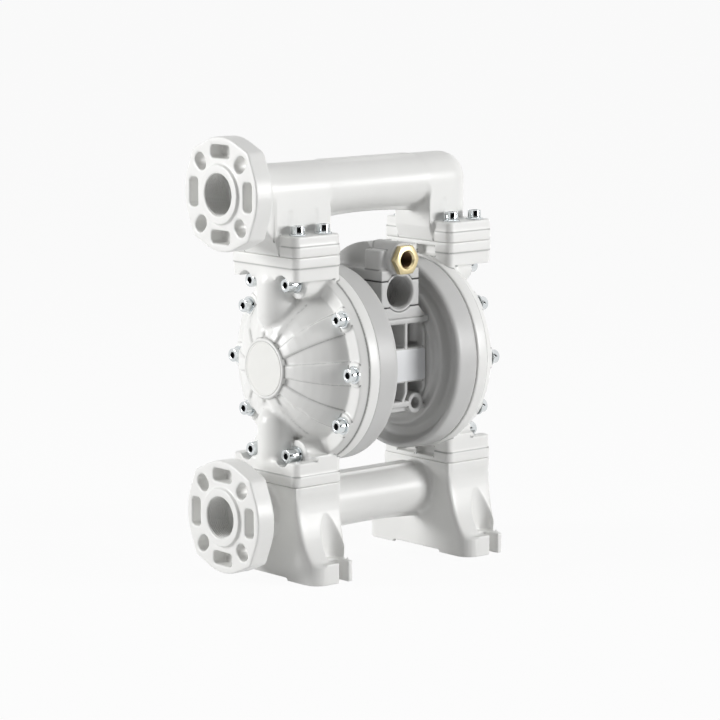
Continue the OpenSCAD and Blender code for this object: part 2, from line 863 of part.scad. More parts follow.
// Centre body: shaft hub between two end discs, in a frame with windows at the front and the back
module frame_wall_front() {
    bottom = axis_z - frame_drop;
    low = axis_z - panel_drop;
    high = axis_z + panel_rise;
    arm = axis_z - lug_drop;
    y0 = -valve_front;
    box([-chamber_x, y0, low], [chamber_x, y0 + panel_deep, high]);
    box([web_x - web_w / 2, y0, high - over], [web_x + web_w / 2, y0 + panel_deep, base_z]);
    along_y(y0, y0 + panel_deep) polygon([
        [web_x - web_w / 2, low + over], [web_x - web_w / 2, (low + arm) / 2],
        [web_x - web_bend - web_w / 2, arm], [web_x - web_bend + web_w / 2, arm],
        [web_x + web_w / 2, (low + arm) / 2], [web_x + web_w / 2, low + over]]);
    box([-chamber_x, y0, arm - arm_h / 2], [lug_x, y0 + panel_deep, arm + arm_h / 2]);
    rod_y(lug_r, y0, y0 + lug_l, lug_x, arm);
    box([-chamber_x, y0 + frame_wall, bottom], [chamber_x, y0 + panel_deep, bottom + frame_wall]);
    for (x = [-post_x, post_x]) rod_z(post_r, base_z - post_l - deck_t, base_z, x, -post_y);
}

// Disc that carries an air chamber, with a boss behind each of its screws
module end_disc() {
    intersection() {
        union() {
            rod_x(end_disc_r, hub_face_x - end_disc_t, hub_face_x, 0, axis_z);
            for (i = [0 : chamber_screws - 1])
                rod_x(screw_boss_r, hub_face_x - screw_boss_l, hub_face_x,
                    chamber_screw_at * cos(i * 360 / chamber_screws),
                    axis_z + chamber_screw_at * sin(i * 360 / chamber_screws));
        }
        box([0, -valve_front, axis_z - rim_r], [chamber_x, rim_r, base_z]);
    }
}

module centre_body() {
    bottom = axis_z - frame_drop;
    back = valve_back;
    color(PP_GREY) difference() {
        union() {
            difference() {
                union() {
                    frame_wall_front();
                    box([-chamber_x, -valve_front, base_z - deck_t], [chamber_x, back, base_z]);
                    box([-chamber_x, back - frame_wall, bottom], [chamber_x, back, base_z]);
                    box([-chamber_x, -frame_hub_r, bottom], [chamber_x, back, bottom + frame_wall]);
                    both_sides() end_disc();
                }
                both_sides() rod_x(hub_face_r + seat_gap, hub_face_x, chamber_x + over, 0, axis_z);
            }
            rod_x(frame_hub_r, -hub_face_x, hub_face_x, 0, axis_z);
            box([-frame_wall, -frame_hub_r / 2, axis_z], [frame_wall, frame_hub_r / 2, base_z]);
        }
        rod_x(shaft_r + bush_t + seat_gap / 2, -chamber_x, chamber_x, 0, axis_z);
        rod_y(lug_hole_r, -valve_front - over, lug_l, lug_x, axis_z - lug_drop);
        both_sides() at_chamber_screws()
            translate([0, 0, -2 * chamber_screw_l - bowl_wall])
                cylinder(r = chamber_screw_r + fit_gap, h = 4 * chamber_screw_l);
        at_valve_screws() cylinder(r = valve_screw_r + hole_gap, h = 2 * deck_t);
    }
}

module at_valve_screws() {
    for (x = [-valve_screw_x, valve_screw_x], y = [-valve_screw_front, valve_screw_back])
        translate([x, y, base_z - deck_t - over]) children();
}

module valve_screw_holes(r) {
    at_valve_screws() cylinder(r = r, h = valve_screw_l + over);
}

// Air valve stack on the deck of the centre body
module ring_room() {
    rod_y(port_ring_r + free_gap, -valve_front - over, port_ring_l + free_gap - valve_front, 0, port_z);
}

module valve_base() {
    half = valve_w / 2;
    color(PP_GREY) difference() {
        along_y(-valve_front, valve_back) polygon([
            [-half - base_flare, base_z], [half + base_flare, base_z],
            [half, base_top_z], [-half, base_top_z]]);
        ring_room();
        valve_screw_holes(valve_screw_r + hole_gap);
    }
}

module gasket_plate(z) {
    difference() {
        box([-valve_w / 2, -valve_front, z], [valve_w / 2, valve_back, z + gasket_t]);
        ring_room();
        rod_z(air_drop_r, z - over, z + gasket_t + over, 0, -air_drop_y);
        valve_screw_holes(valve_screw_r + hole_gap);
    }
}

module lower_gasket() {
    color(RUBBER) gasket_plate(base_top_z);
}

module upper_gasket() {
    color(RUBBER) gasket_plate(block_top_z);
}

module exhaust_block() {
    half = valve_w / 2;
    color(PP_GREY) difference() {
        union() {
            box([-half, -valve_front, block_z], [half, valve_back, block_top_z]);
            rod_y(port_ring_r, -valve_front, port_ring_l - valve_front, 0, port_z);
        }
        translate([0, -valve_front, port_z]) rotate([-90, 0, 0]) rotate_extrude() polygon([[0, -over],
            [exhaust_mouth_r, -over], [exhaust_mouth_r, 0], [exhaust_d / 2, exhaust_bevel],
            [exhaust_d / 2, exhaust_deep], [0, exhaust_deep]]);
        rod_y(air_way_r, exhaust_deep - valve_front - over, 0, 0, port_z);
        rod_x(sleeve_r + fit_gap, -half - over, half + over, 0, spool_z);
        rod_z(air_drop_r, spool_z, block_top_z + over, 0, -air_drop_y);
        valve_screw_holes(valve_screw_r + hole_gap);
    }
}

module inlet_cap() {
    half = valve_w / 2;
    top = boss_z + boss_d / 2;
    cap_top = cap_z + cap_h;
    color(PP_GREY) difference() {
        union() {
            box([-half, -valve_front, cap_z], [half, valve_back, cap_top]);
            rod_y(boss_d / 2, -boss_front, -saddle_front, 0, boss_z);
            translate([-saddle_half_w, 0, 0]) rotate([90, 0, 90]) linear_extrude(2 * saddle_half_w)
                polygon(concat([[over - valve_front, cap_z + over], [over - valve_front, cap_top - over]],
                    bow([-saddle_front - over, top - over], [valve_back - over, cap_top - over],
                        -saddle_sag, saddle_steps),
                    [[valve_back - over, cap_z + over]]));
            both_sides() translate([(ear_in + ear_out) / 2, -(ear_front + ear_back) / 2, 0])
                upright_block(ear_out - ear_in, ear_front - ear_back, ear_r, cap_z + over, cap_top + ear_h);
        }
        ring_room();
        rod_y(fitting_thread_r + seat_gap, -boss_front - over, fitting_thread_l - boss_front, 0, boss_z);
        rod_y(air_way_r, -boss_front, 0, 0, boss_z);
        rod_z(air_drop_r, cap_z - over, boss_z, 0, -air_drop_y);
        valve_screw_holes(valve_screw_r + fit_gap);
    }
}

module air_inlet_fitting() {
    bore = air_d / 2;
    corner = fitting_af / sqrt(3);
    color(BRASS) translate([0, -boss_front, boss_z]) rotate([90, 0, 0]) difference() {
        union() {
            intersection() {
                cylinder(r = corner, h = fitting_hex_t, $fn = 6);
                rotate_extrude() polygon([[0, 0], [corner, 0], [corner, fitting_hex_t - fitting_bevel],
                    [corner - fitting_bevel, fitting_hex_t], [0, fitting_hex_t]]);
            }
            translate([0, 0, -fitting_thread_l])
                cylinder(r = fitting_thread_r, h = fitting_thread_l + over);
        }
        translate([0, 0, fitting_hex_t]) rotate([180, 0, 0]) rotate_extrude() polygon([[0, -over],
            [fitting_mouth_r, -over], [fitting_mouth_r, 0], [bore, fitting_bevel],
            [bore, fitting_hex_t + fitting_thread_l + over],
            [0, fitting_hex_t + fitting_thread_l + over]]);
    }
}

module spool_sleeve() {
    color(STEEL) difference() {
        rod_x(sleeve_r, -sleeve_half, sleeve_half, 0, spool_z);
        rod_x(spool_bore_r, -sleeve_half - over, sleeve_half + over, 0, spool_z);
        rod_z(sleeve_port_r, spool_z, spool_z + 2 * sleeve_r, 0, 0);
        for (x = [-sleeve_half / 2, 0, sleeve_half / 2]) rod_y(sleeve_port_r, -2 * sleeve_r, 0, x, spool_z);
    }
}

module spool() {
    r = spool_d / 2;
    mid = spool_l / 2;
    start = free_gap - sleeve_half;
    color(STEEL) translate([start, 0, spool_z]) rotate([0, 90, 0]) difference() {
        cylinder(r = r, h = spool_l);
        for (z = [mid - 2 * spool_groove_w, mid + spool_groove_w]) translate([0, 0, z]) difference() {
            cylinder(r = r + over, h = spool_groove_w);
            cylinder(r = r - spool_groove_deep, h = spool_groove_w);
        }
    }
}

module spool_plugs() {
    color(PP_GREY) both_sides() rod_x(sleeve_r, sleeve_half, valve_w / 2, 0, spool_z);
}

module valve_screws() {
    color(ZINC) for (x = [-valve_screw_x, valve_screw_x], y = [-valve_screw_front, valve_screw_back])
        translate([x, y, base_z - deck_t]) rotate([180, 0, 0])
            cap_screw(valve_screw_r, 2 * valve_head_r, valve_head_h, valve_screw_l);
}

module nameplate() {
    color("#e4e5e6") box(
        [label_margin - hub_face_x, -valve_front - label_t, axis_z - panel_drop + label_margin],
        [hub_face_x - label_margin, -valve_front, axis_z + panel_rise - label_margin]);
}

// Shaft with pilot grooves, carried in two bushes
module shaft() {
    half = seam_x - diaphragm_t / 2 - inner_plate_t;
    color(STEEL) difference() {
        translate([0, 0, axis_z]) rotate([0, 90, 0]) rotate_extrude() polygon([[0, -half],
            [shaft_r - shaft_bevel, -half], [shaft_r, shaft_bevel - half], [shaft_r, half - shaft_bevel],
            [shaft_r - shaft_bevel, half], [0, half]]);
        both_sides() {
            rod_x(plate_screw_r + fit_gap, half - plate_screw_in, half + over, 0, axis_z);
            difference() {
                rod_x(shaft_r + over, pilot_x, pilot_x + pilot_w, 0, axis_z);
                rod_x(shaft_r - pilot_deep, pilot_x, pilot_x + pilot_w, 0, axis_z);
            }
        }
    }
}

module shaft_bushes() {
    color(PTFE) both_sides() difference() {
        rod_x(shaft_r + bush_t, hub_face_x - bush_l, hub_face_x, 0, axis_z);
        rod_x(shaft_r + fit_gap, hub_face_x - bush_l - over, hub_face_x + over, 0, axis_z);
    }
}

module shaft_seals() {
    color(RUBBER) both_sides() translate([hub_face_x - bush_l - 2 * seal_r, 0, axis_z]) rotate([0, 90, 0])
        rotate_extrude() translate([shaft_r + fit_gap + seal_r, 0]) circle(seal_r, $fn = 24);
}

// Plates that clamp the diaphragm: inner on the air side, outer on the wetted side
module inner_plate() {
    back = seam_x - diaphragm_t / 2 - inner_plate_t;
    front = seam_x - diaphragm_t / 2;
    turned() polygon([[plate_screw_r + fit_gap, back], [inner_hub_r, back],
        [inner_plate_d / 2 - inner_rim_t, front - inner_rim_t], [inner_plate_d / 2, front - inner_rim_t / 2],
        [inner_plate_d / 2, front], [plate_screw_r + fit_gap, front]]);
}

module outer_plate() {
    back = seam_x + diaphragm_t / 2;
    turned() polygon([[plate_screw_r + fit_gap, back], [outer_plate_d / 2 - outer_rim_t, back],
        [outer_plate_d / 2, back + outer_rim_t / 2], [outer_plate_d / 2 - outer_rim_t / 2, back + outer_rim_t],
        [inner_hub_r, back + outer_plate_t], [plate_screw_r + fit_gap, back + outer_plate_t]]);
}

module left_inner_plate() {
    color(STEEL) on_side(-1) inner_plate();
}

module right_inner_plate() {
    color(STEEL) inner_plate();
}

module left_outer_plate() {
    color(PP) on_side(-1) outer_plate();
}

module right_outer_plate() {
    color(PP) outer_plate();
}

module plate_screw() {
    seat = seam_x + diaphragm_t / 2 + outer_plate_t;
    reach = seat - (seam_x - diaphragm_t / 2 - inner_plate_t) + plate_screw_in - over;
    translate([seat, 0, axis_z]) rotate([0, 90, 0])
        cap_screw(plate_screw_r, 2 * plate_head_r, plate_head_h, reach);
}

module left_plate_screw() {
    color(PTFE) on_side(-1) plate_screw();
}

module right_plate_screw() {
    color(PTFE) plate_screw();
}

// Diaphragm: flat hub between the plates, one wave, and a rim clamped between chamber and cover
module diaphragm() {
    half = diaphragm_t / 2;
    wave = bow([flex_in_r, seam_x + half], [land_r, seam_x + half], -flex_wave, flex_steps);
    back = bow([land_r, seam_x - half], [flex_in_r, seam_x - half], flex_wave, flex_steps);
    turned() polygon(concat([[diaphragm_hole_r, seam_x - half], [diaphragm_hole_r, seam_x + half]], wave,
        [[bead_r, seam_x + half], [bead_r, seam_x - half]], back));
}

module left_diaphragm() {
    color(PTFE) on_side(-1) diaphragm();
}

module right_diaphragm() {
    color(PTFE) diaphragm();
}

// Check valves: seat let into the piece below each joint, ball on it, cage above
module seat() {
    bore = seat_bore_d / 2;
    translate([0, 0, -seat_h]) rotate_extrude() polygon([[bore, 0], [seat_r, 0],
        [seat_r, seat_h - ring_notch], [seat_r - ring_notch, seat_h - ring_notch],
        [seat_r - ring_notch, seat_h], [seat_bevel_r, seat_h], [bore, seat_land]]);
}

module cage() {
    inner = cage_r - cage_wall;
    difference() {
        union() {
            difference() {
                cylinder(r = cage_r, h = cage_h);
                translate([0, 0, -over]) cylinder(r = inner, h = cage_stop + over);
            }
            for (i = [0 : 3]) rotate(i * 90) translate([ball_r + cage_rib_gap, -cage_rib_w / 2, 0])
                cube([inner - ball_r - cage_rib_gap + cage_wall / 2, cage_rib_w, cage_stop + over]);
        }
        for (i = [0 : 3]) rotate(45 + i * 90) translate([cage_window_at, 0, cage_stop - over])
            cylinder(r = cage_window_r, h = cage_top + 2 * over);
    }
}

module at_valve(side, joint_z) {
    translate([side * block_x, 0, joint_z]) children();
}

module suction_seat_left() {
    color(PP) at_valve(-1, low_joint_z) seat();
}

module suction_seat_right() {
    color(PP) at_valve(1, low_joint_z) seat();
}

module discharge_seat_left() {
    color(PP) at_valve(-1, top_joint_z) seat();
}

module discharge_seat_right() {
    color(PP) at_valve(1, top_joint_z) seat();
}

module suction_ball_left() {
    color(PTFE) at_valve(-1, low_joint_z + ball_z) sphere(ball_r);
}

module suction_ball_right() {
    color(PTFE) at_valve(1, low_joint_z + ball_z) sphere(ball_r);
}

module discharge_ball_left() {
    color(PTFE) at_valve(-1, top_joint_z + ball_z) sphere(ball_r);
}

module discharge_ball_right() {
    color(PTFE) at_valve(1, top_joint_z + ball_z) sphere(ball_r);
}

module suction_cage_left() {
    color(PP) at_valve(-1, low_joint_z) cage();
}

module suction_cage_right() {
    color(PP) at_valve(1, low_joint_z) cage();
}

module discharge_cage_left() {
    color(PP) at_valve(-1, top_joint_z) cage();
}

module discharge_cage_right() {
    color(PP) at_valve(1, top_joint_z) cage();
}

module seat_rings() {
    color(RUBBER) for (side = [-1, 1], z = [low_joint_z, top_joint_z]) at_valve(side, z - ring_notch / 2)
        rotate_extrude() translate([seat_r - ring_notch / 2, 0]) circle(ring_wire_r, $fn = 24);
}

// Screws, washers and inserts
module cover_screw_set() {
    for (i = [0 : cover_screws - 1]) {
        seat = screw_seat_x(i) + washer_t;
        translate([seat, screw_y(i), screw_z(i)]) rotate([0, 90, 0])
            cap_screw(screw_r, head_d, is_tall(i) ? tall_head_h : head_h, seat - seam_x + insert_l - over);
    }
}

module left_cover_screws() {
    color(ZINC) on_side(-1) cover_screw_set();
}

module right_cover_screws() {
    color(ZINC) cover_screw_set();
}

module left_cover_washers() {
    color(ZINC) on_side(-1) at_cover_screws(0) washer(washer_d);
}

module right_cover_washers() {
    color(ZINC) at_cover_screws(0) washer(washer_d);
}

module cover_inserts() {
    color(BRASS) both_sides() for (i = [0 : cover_screws - 1]) difference() {
        rod_x(insert_r, seam_x - insert_l, seam_x, screw_y(i), screw_z(i));
        rod_x(screw_r + fit_gap, seam_x - insert_l - over, seam_x + over, screw_y(i), screw_z(i));
    }
}

module chamber_screws() {
    color(ZINC) both_sides() at_chamber_screws()
        cap_screw(chamber_screw_r, 2 * chamber_head_r, chamber_head_h, chamber_screw_l);
}

module upper_manifold_screws() {
    color(ZINC) at_joint_screws(plate_top_z + washer_t)
        cap_screw(screw_r, head_d, head_h, washer_t + plate_h + thread_deep - over);
}

module upper_manifold_washers() {
    color(ZINC) at_joint_screws(plate_top_z) washer(washer_d);
}

module lower_manifold_screws() {
    color(ZINC) at_joint_screws(low_joint_z - low_plate_h - washer_t) rotate([180, 0, 0])
        cap_screw(screw_r, head_d, head_h, washer_t + low_plate_h + thread_deep - over);
}

module lower_manifold_washers() {
    color(ZINC) at_joint_screws(low_joint_z - low_plate_h - washer_t) washer(washer_d);
}

module badge() {
    turned() polygon([[0, hub_x - badge_t], [badge_d / 2, hub_x - badge_t],
        [badge_d / 2, hub_x - seat_gap], [0, hub_x - seat_gap]]);
}

module left_badge() {
    color("#fbfbf7") on_side(-1) badge();
}

module right_badge() {
    color("#fbfbf7") badge();
}

lower_manifold();
upper_manifold();
left_cover();
right_cover();
left_air_chamber();
right_air_chamber();
centre_body();
valve_base();
lower_gasket();
exhaust_block();
upper_gasket();
inlet_cap();
air_inlet_fitting();
spool_sleeve();
spool();
spool_plugs();
valve_screws();
nameplate();
shaft();
shaft_bushes();
shaft_seals();
left_inner_plate();
right_inner_plate();
left_diaphragm();
right_diaphragm();
left_outer_plate();
right_outer_plate();
left_plate_screw();
right_plate_screw();
suction_seat_left();
suction_seat_right();
discharge_seat_left();
discharge_seat_right();
suction_ball_left();
suction_ball_right();
discharge_ball_left();
discharge_ball_right();
suction_cage_left();
suction_cage_right();
discharge_cage_left();
discharge_cage_right();
seat_rings();
left_cover_screws();
right_cover_screws();
left_cover_washers();
right_cover_washers();
cover_inserts();
chamber_screws();
upper_manifold_screws();
upper_manifold_washers();
lower_manifold_screws();
lower_manifold_washers();
left_badge();
right_badge();
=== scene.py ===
"""Looks of an air operated double diaphragm pump in white polypropylene, built round its CAD frame.

Lengths are metres; MM turns the object's own millimetres into them.
"""
import json
import math

import bmesh
import bpy
import numpy as np
from mathutils import Matrix, Vector
from mathutils.kdtree import KDTree


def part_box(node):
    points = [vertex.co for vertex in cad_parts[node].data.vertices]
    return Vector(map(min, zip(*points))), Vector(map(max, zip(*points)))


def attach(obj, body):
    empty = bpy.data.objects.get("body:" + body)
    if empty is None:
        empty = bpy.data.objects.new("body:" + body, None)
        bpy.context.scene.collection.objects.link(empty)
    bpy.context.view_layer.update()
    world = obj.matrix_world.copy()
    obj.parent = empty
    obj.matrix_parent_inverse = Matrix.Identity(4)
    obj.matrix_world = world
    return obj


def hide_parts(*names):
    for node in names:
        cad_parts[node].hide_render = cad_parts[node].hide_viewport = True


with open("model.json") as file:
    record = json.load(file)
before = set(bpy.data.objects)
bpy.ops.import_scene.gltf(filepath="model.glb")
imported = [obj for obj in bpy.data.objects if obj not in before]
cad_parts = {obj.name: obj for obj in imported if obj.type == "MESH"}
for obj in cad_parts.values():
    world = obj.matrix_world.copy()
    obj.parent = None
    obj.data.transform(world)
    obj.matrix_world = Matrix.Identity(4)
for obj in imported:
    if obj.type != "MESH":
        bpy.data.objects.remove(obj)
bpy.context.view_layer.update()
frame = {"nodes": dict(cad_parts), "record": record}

MM = 0.001
AXIS_Z = 200 * MM
LOW_JOINT_Z = 91 * MM
PLATE_TOP_Z = 329 * MM
SUCTION_Z = 63 * MM
DISCHARGE_Z = 369 * MM
BLOCK_X = 97.5 * MM
JOINT_SCREW_X = 15.3 * MM
JOINT_SCREW_Y = 36.2 * MM
SEAL_FACE_X = -180 * MM
HUB_X = 126.5 * MM
COVER_SCREW_R = 85.9 * MM
PAD_X = 86 * MM
TALL_SEAT_X = 106.5 * MM
WASHER_T = 1.6 * MM
HEAD_R = 6.5 * MM
HEAD_H = 7.5 * MM
TALL_HEAD_H = 13 * MM
RIB_STEP = math.radians(36)
EXHAUST_Z = 267.6 * MM
EXHAUST_CREST = 15.15 * MM
EXHAUST_ROOT = 16.62 * MM
EXHAUST_THREAD = 25 * MM
EXHAUST_MOUTH = 3 * MM
INLET_Z = 299.6 * MM
BLOCK_FRONT_Y = -53.6 * MM
FITTING_Y = -58 * MM


def linear(code):
    """An sRGB hex colour as linear red, green, blue and alpha."""
    parts = [int(code[i:i + 2], 16) / 255 for i in (1, 3, 5)]
    return [p / 12.92 if p <= 0.04045 else ((p + 0.055) / 1.055) ** 2.4 for p in parts] + [1.0]


def add(tree, kind, inputs=None, **settings):
    """Adds a shader node, with its settings and what its inputs hold or are linked to."""
    made = tree.nodes.new(kind)
    for name, value in settings.items():
        setattr(made, name, value)
    for name, value in (inputs or {}).items():
        if isinstance(value, bpy.types.NodeSocket):
            tree.links.new(value, made.inputs[name])
        else:
            made.inputs[name].default_value = value
    return made


def new_material(name):
    material = bpy.data.materials.new(name)
    material.use_nodes = True
    material.node_tree.nodes.clear()
    return material, material.node_tree


def finish_material(tree, surface, normal=None):
    if normal is not None:
        tree.links.new(normal, surface.inputs["Normal"])
    out = tree.nodes.new("ShaderNodeOutputMaterial")
    tree.links.new(surface.outputs[0], out.inputs["Surface"])


def moulded_plastic(name, light, dark, roughness, grain_mm, grain_depth, coat=0.0, corner_shade=None):
    """Injection moulded polypropylene: the tool's fine texture, slow waves where thick walls sank,
    a shade that drifts a little with the wall's thickness, and painted shade that darkens the sharp
    inner corners, which a casting marks with its attribute."""
    material, tree = new_material(name)
    place = add(tree, "ShaderNodeTexCoord").outputs["Object"]
    drift = add(tree, "ShaderNodeTexNoise", {"Vector": place, "Scale": 1 / (45 * MM), "Detail": 2.0})
    shade = add(tree, "ShaderNodeMix", {"Factor": drift.outputs["Fac"], "A": linear(dark),
                                        "B": linear(light)}, data_type="RGBA")
    # Painted shade: the casting's attribute darkens its sharp inner corners towards the given colour.
    if corner_shade:
        corner = add(tree, "ShaderNodeAttribute", attribute_name="corner_shade")
        shade = add(tree, "ShaderNodeMix", {"Factor": corner.outputs["Fac"], "A": shade.outputs["Result"],
                                            "B": linear(corner_shade)}, data_type="RGBA")
    grain = add(tree, "ShaderNodeTexNoise", {"Vector": place, "Scale": 1 / (grain_mm * MM), "Detail": 3.0,
                                             "Roughness": 0.6})
    waves = add(tree, "ShaderNodeTexNoise", {"Vector": place, "Scale": 1 / (14 * MM), "Detail": 1.0})
    fine = add(tree, "ShaderNodeBump", {"Height": grain.outputs["Fac"], "Distance": grain_depth * MM,
                                        "Strength": 0.5})
    bump = add(tree, "ShaderNodeBump", {"Height": waves.outputs["Fac"], "Distance": 0.12 * MM,
                                        "Strength": 0.6, "Normal": fine.outputs["Normal"]})
    surface = add(tree, "ShaderNodeBsdfPrincipled", {
        "Base Color": shade.outputs["Result"], "Roughness": roughness, "IOR": 1.49,
        "Coat Weight": coat, "Coat Roughness": 0.12})
    finish_material(tree, surface, bump.outputs["Normal"])
    return material


def metal(name, light, dark, roughness, streak_mm, depth_mm):
    """A plated or turned metal: small stains in its shade and fine marks of the tool."""
    material, tree = new_material(name)
    place = add(tree, "ShaderNodeTexCoord").outputs["Object"]
    stain = add(tree, "ShaderNodeTexNoise", {"Vector": place, "Scale": 1 / (6 * MM), "Detail": 2.0})
    shade = add(tree, "ShaderNodeMix", {"Factor": stain.outputs["Fac"], "A": linear(dark),
                                        "B": linear(light)}, data_type="RGBA")
    marks = add(tree, "ShaderNodeTexNoise", {"Vector": place, "Scale": 1 / (streak_mm * MM), "Detail": 2.0})
    bump = add(tree, "ShaderNodeBump", {"Height": marks.outputs["Fac"], "Distance": depth_mm * MM,
                                        "Strength": 0.4})
    surface = add(tree, "ShaderNodeBsdfPrincipled", {
        "Base Color": shade.outputs["Result"], "Metallic": 1.0, "Roughness": roughness})
    finish_material(tree, surface, bump.outputs["Normal"])
    return material


def dark_matt(name, light, dark, roughness):
    """Moulded rubber: dark, matt and with a little dust. It also makes the painted shade in the screws' key
    holes, a dark matt stand-in for the shade there.
    """
    material, tree = new_material(name)
    place = add(tree, "ShaderNodeTexCoord").outputs["Object"]
    dust_and_shade = add(tree, "ShaderNodeTexNoise", {"Vector": place, "Scale": 1 / (3 * MM), "Detail": 3.0})
    shade = add(tree, "ShaderNodeMix", {"Factor": dust_and_shade.outputs["Fac"], "A": linear(dark), "B": linear(light)},
                data_type="RGBA")
    surface = add(tree, "ShaderNodeBsdfPrincipled", {"Base Color": shade.outputs["Result"],
                                                     "Roughness": roughness, "IOR": 1.52})
    finish_material(tree, surface)
    return material


# The last colour given to each of these two castings' finishes is painted shade for their sharp inner
# corners.
casting_white = moulded_plastic("moulded_white_polypropylene", "#f2f2f0", "#ebebe9", 0.33, 0.9, 0.03,
                                corner_shade="#8e8e8c")
# Greyer than the white: partly the plastic's own greyer tone, partly painted shade for the parts in the
# shaded middle of the pump.
casting_grey_and_shade = moulded_plastic("moulded_grey_white_polypropylene_and_painted_shade", "#cdcdcc", "#c4c4c3", 0.4, 0.7, 0.04,
                               corner_shade="#858584")
zinc = metal("zinc_plated_steel", "#e6e9ea", "#c6cbcd", 0.13, 0.8, 0.012)
# Painted shade: a dark matt material that stands in for the shade inside the screws' key holes.
key_shade = dark_matt("painted_key_hole_shade", "#26282a", "#17181a", 0.5)
turned_steel = metal("turned_steel", "#c6c8ca", "#b3b5b8", 0.3, 0.5, 0.02)
pale_brass = metal("machined_pale_brass", "#d6caa6", "#bfae83", 0.36, 0.6, 0.02)
# Painted shade: a darker brass that stands in for the shade inside the air inlet's bore.
bore_shade_brass = metal("brass_thread_painted_shade", "#8f7355", "#6f5a43", 0.45, 0.6, 0.03)
seal_rubber = dark_matt("moulded_seal_rubber", "#3c3c3e", "#242426", 0.7)
white_ptfe = moulded_plastic("skived_ptfe", "#f2f2ee", "#e9e9e4", 0.45, 1.2, 0.02)
blank_badge = moulded_plastic("bare_badge_film", "#f4f4f1", "#efefeb", 0.22, 1.5, 0.01, coat=0.3)
blank_plate = moulded_plastic("bare_label_film", "#e9eaec", "#e0e2e4", 0.38, 0.8, 0.01)

FINISHES = {
    "white_polypropylene": casting_white,
    "grey_white_polypropylene": casting_grey_and_shade,
    "zinc_plated_steel": zinc,
    "plain_steel": turned_steel,
    "brass": pale_brass,
    "dark_rubber": seal_rubber,
    "white_ptfe": white_ptfe,
    "plain_badge": blank_badge,
    "plain_plate": blank_plate,
}
slots = {part["node"]: part["material_slot"] for part in frame["record"]["subparts"]}
for name, shown in frame["nodes"].items():
    shown.data.materials.clear()
    shown.data.materials.append(FINISHES[slots[name]])


# Castings: each is its CAD solid with the rounded edges and filled corners that a mould gives

def spots(mesh):
    """The mesh's points, one row each."""
    flat = np.empty(len(mesh.vertices) * 3, np.float32)
    mesh.vertices.foreach_get("co", flat)
    return flat.reshape(-1, 3).astype(float)


def put_spots(mesh, points):
    mesh.vertices.foreach_set("co", points.astype(np.float32).ravel())
    mesh.update()


def outward(mesh):
    flat = np.empty(len(mesh.vertices) * 3, np.float32)
    mesh.vertex_normals.foreach_get("vector", flat)
    return flat.reshape(-1, 3)


class Web:
    """Which point of a mesh is next to which, for evening its surface out."""

    def __init__(self, mesh):
        ends = np.empty(len(mesh.edges) * 2, np.int32)
        mesh.edges.foreach_get("vertices", ends)
        self.a, self.b = ends.reshape(-1, 2).T
        self.size = len(mesh.vertices)
        self.count = np.maximum(self.sums(np.ones(self.size)), 1)

    def sums(self, value):
        return np.bincount(self.a, value[self.b], self.size) + np.bincount(self.b, value[self.a], self.size)

    def middles(self, points):
        return np.stack([self.sums(points[:, k]) / self.count for k in range(3)], 1)

    def relax(self, points, rounds, share):
        for _ in range(rounds):
            points = points + (self.middles(points) - points) * share
        return points

    def grown(self, chosen, rings):
        for _ in range(rings):
            chosen = chosen | (self.sums(chosen.astype(float)) > 0)
        return chosen


def worked_in(piece):
    """Makes what the piece's modifiers show its own mesh."""
    graph = bpy.context.evaluated_depsgraph_get()
    made = bpy.data.meshes.new_from_object(piece.evaluated_get(graph))
    piece.modifiers.clear()
    piece.data = made


def dress(piece, body, slot_name, *replaced):
    """Finish, body and slot of a piece, and the CAD nodes it stands for."""
    if not piece.data.materials:
        piece.data.materials.append(FINISHES[slot_name])
    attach(piece, body)
    if replaced:
        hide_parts(*replaced)


def inner_corners(work):
    """Points close together along the sharp inner corners of a solid."""
    found = []
    for edge in work.edges:
        if len(edge.link_faces) == 2 and edge.calc_face_angle_signed() < -0.5:
            a, b = (v.co for v in edge.verts)
            steps = int(edge.calc_length() / (0.4 * MM)) + 1
            found += [a.lerp(b, i / steps) for i in range(steps + 1)]
    tree = KDTree(len(found))
    for i, spot in enumerate(found):
        tree.insert(spot, i)
    tree.balance()
    return tree


def paint_shade_in_corners(mesh, points, tree, where):
    """Notes at each point how near the bottom of a sharp inner corner it is, for the painted shade that
    darkens it.
    """
    near = np.array([tree.find(spot)[2] or 0.0 for spot in points]) / MM
    dust_and_shade = np.clip((1.15 - near) / 0.65, 0, 1) * where(points / MM)
    marks = mesh.attributes.new("corner_shade", "FLOAT", "POINT")
    marks.data.foreach_set("value", dust_and_shade.astype(np.float32))


